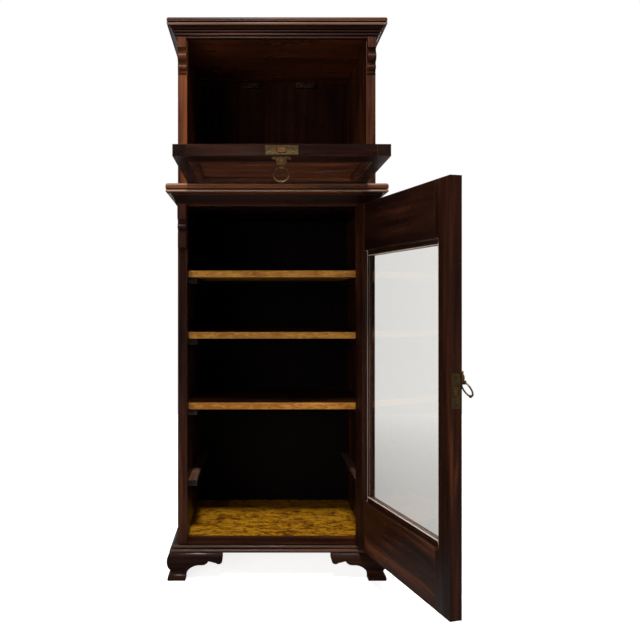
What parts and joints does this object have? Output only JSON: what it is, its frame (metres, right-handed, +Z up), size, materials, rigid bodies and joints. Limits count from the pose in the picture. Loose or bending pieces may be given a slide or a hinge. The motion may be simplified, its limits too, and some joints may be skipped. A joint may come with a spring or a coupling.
{
  "type": "display cabinet",
  "caption": "Narrow two-stage wooden display cabinet with a fall-flap compartment above a glazed door, shelves, moulded boards and scrolled bracket feet.",
  "frame": {"origin": "on the floor, under the middle of the side boards' depth and of the carcass width", "axes": "+X to the right as seen from the front, +Y to the back, +Z up"},
  "size_m": [0.5742, 0.7337, 1.25],
  "materials": {
    "mahogany": "dark polished mahogany with a warm brown grain",
    "back_board": "very dark stained boards, dull",
    "floor_pine": "yellow-brown stained softwood, mottled",
    "shelf_oak": "light golden wood, satin",
    "bearer_pine": "pale softwood strips",
    "glass": "clear sheet glass",
    "brass": "aged cast brass",
    "screw_steel": "countersunk slotted screws"
  },
  "bodies": {
    "carcass": {"lower_side_left": "mahogany", "lower_side_right": "mahogany", "upper_side_left": "mahogany", "upper_side_right": "mahogany", "lower_back_panel": "back_board", "upper_back_panel": "back_board", "floor_board": "floor_pine", "base_front_rail": "mahogany", "lower_sub_top": "mahogany", "upper_sub_top": "mahogany", "waist_board": "mahogany", "top_board": "mahogany", "cornice_front": "mahogany", "cornice_returns": "mahogany", "waist_cove_front": "mahogany", "waist_cove_returns": "mahogany", "base_moulding_front": "mahogany", "base_moulding_returns": "mahogany", "foot_front_left": "mahogany", "foot_front_right": "mahogany", "foot_back_left": "mahogany", "foot_back_right": "mahogany", "glue_blocks": "bearer_pine", "upper_corbel_left": "mahogany", "upper_corbel_right": "mahogany", "lower_corbel_left": "mahogany", "lower_corbel_right": "mahogany", "shelf_bottom": "shelf_oak", "shelf_middle": "shelf_oak", "shelf_top": "shelf_oak", "shelf_bearers": "bearer_pine", "door_strike_plate": "brass", "flap_strike_plate": "brass", "hinge_fixed_leaves": "brass", "hinge_pins": "brass", "carcass_screws": "screw_steel"},
    "door": {"door_hinge_stile": "mahogany", "door_lock_stile": "mahogany", "door_top_rail": "mahogany", "door_bottom_rail": "mahogany", "door_glass": "glass", "door_glazing_beads": "bearer_pine", "door_hinge_leaves": "brass", "door_lock_case": "brass", "door_screws": "screw_steel", "door_pull_plate": "brass"},
    "flap": {"flap_stile_left": "mahogany", "flap_stile_right": "mahogany", "flap_free_rail": "mahogany", "flap_hinge_rail": "mahogany", "flap_panel": "mahogany", "flap_panel_moulding": "mahogany", "flap_hinge_leaves": "brass", "flap_lock_case": "brass", "flap_screws": "screw_steel", "flap_pull_plate": "brass"},
    "door_ring": {"door_pull_ring": "brass"},
    "flap_ring": {"flap_pull_ring": "brass"},
    "door_bolt": {"door_lock_bolt": "brass"},
    "flap_bolt": {"flap_lock_bolt": "brass"}
  },
  "joints": [
    {"name": "door_hinge", "type": "hinge", "parent": "carcass", "child": "door", "pos_m": [0.2002, -0.1724, 0.175], "axis": [0, 0, 1], "range_deg": [-105.3, 0]},
    {"name": "flap_hinge", "type": "hinge", "parent": "carcass", "child": "flap", "pos_m": [0, -0.149, 0.8818], "axis": [-1, 0, 0], "range_deg": [0, 90]},
    {"name": "door_ring_hinge", "type": "hinge", "parent": "door", "child": "door_ring", "pos_m": [0.3117, -0.53752, 0.4785], "axis": [-0.2639, 0.9646, 0], "range_deg": [-150, 46]},
    {"name": "flap_ring_hinge", "type": "hinge", "parent": "flap", "child": "flap_ring", "pos_m": [0, -0.449, 0.8672], "axis": [1, 0, 0], "range_deg": [-30, 108]},
    {"name": "door_bolt_slide", "type": "slide", "parent": "door", "child": "door_bolt", "axis": [0.2639, -0.9646, 0], "range_m": [0, 0.008]},
    {"name": "flap_bolt_slide", "type": "slide", "parent": "flap", "child": "flap_bolt", "axis": [0, -1, 0], "range_m": [0, 0.008]}
  ]
}
